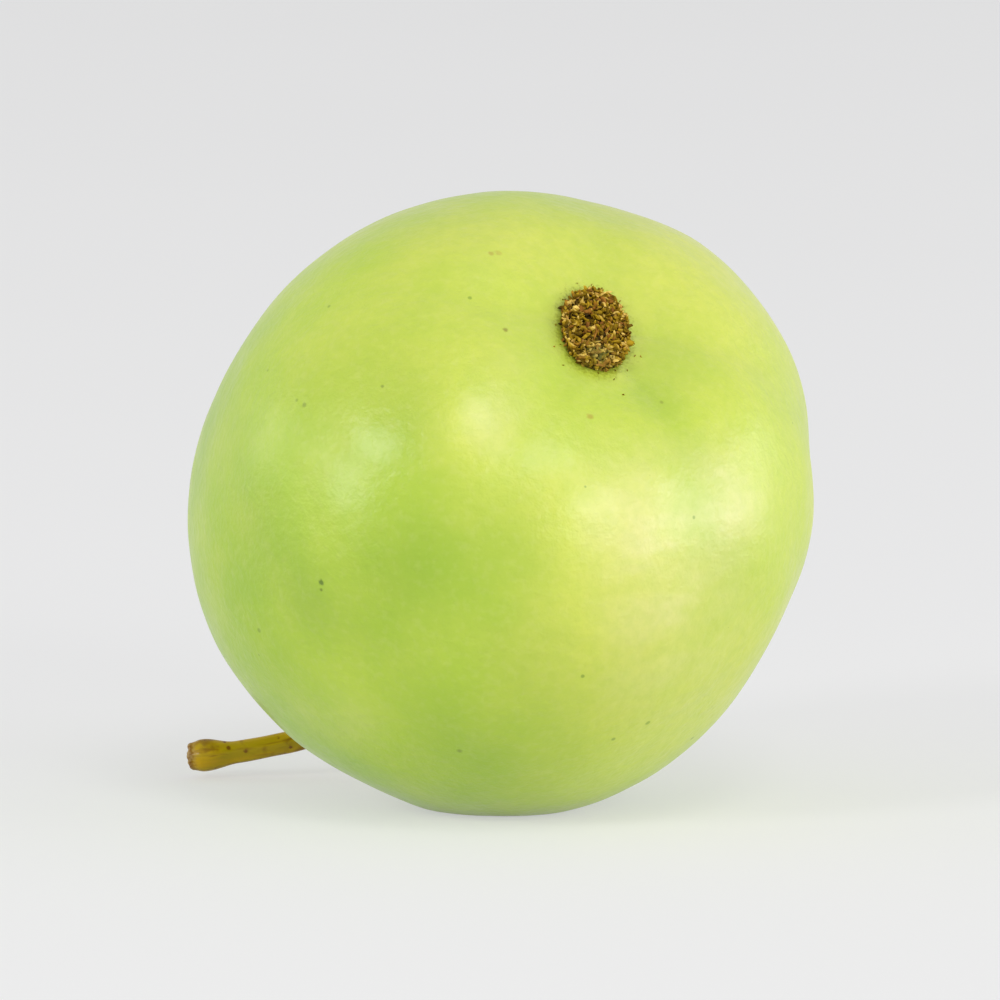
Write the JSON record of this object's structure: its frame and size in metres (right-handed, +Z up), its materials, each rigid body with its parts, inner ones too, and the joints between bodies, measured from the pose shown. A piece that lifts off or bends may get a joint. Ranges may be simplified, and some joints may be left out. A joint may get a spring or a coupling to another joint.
{
  "type": "crab apple",
  "caption": "Round green crab apple as picked, with its bent stem and dried brown calyx, lying on a small flat spot on its shoulder.",
  "frame": {"origin": "centre of the flat spot that the apple rests on", "axes": "+Z up from the surface; -Y towards the side that shows the calyx, which points up at 48 degrees, turned 31 degrees from -Y towards +X; the stem leaves at the back and lies towards -X"},
  "size_m": [0.0426, 0.0432, 0.0417],
  "materials": {
    "skin": "waxy satin apple skin, yellow-green",
    "stem": "smooth ochre stem with a slight gloss",
    "calyx": "dry crumbled brown sepals, matt"
  },
  "bodies": {
    "root": {"fruit": "skin", "stem": "stem", "calyx": "calyx"}
  },
  "joints": []
}
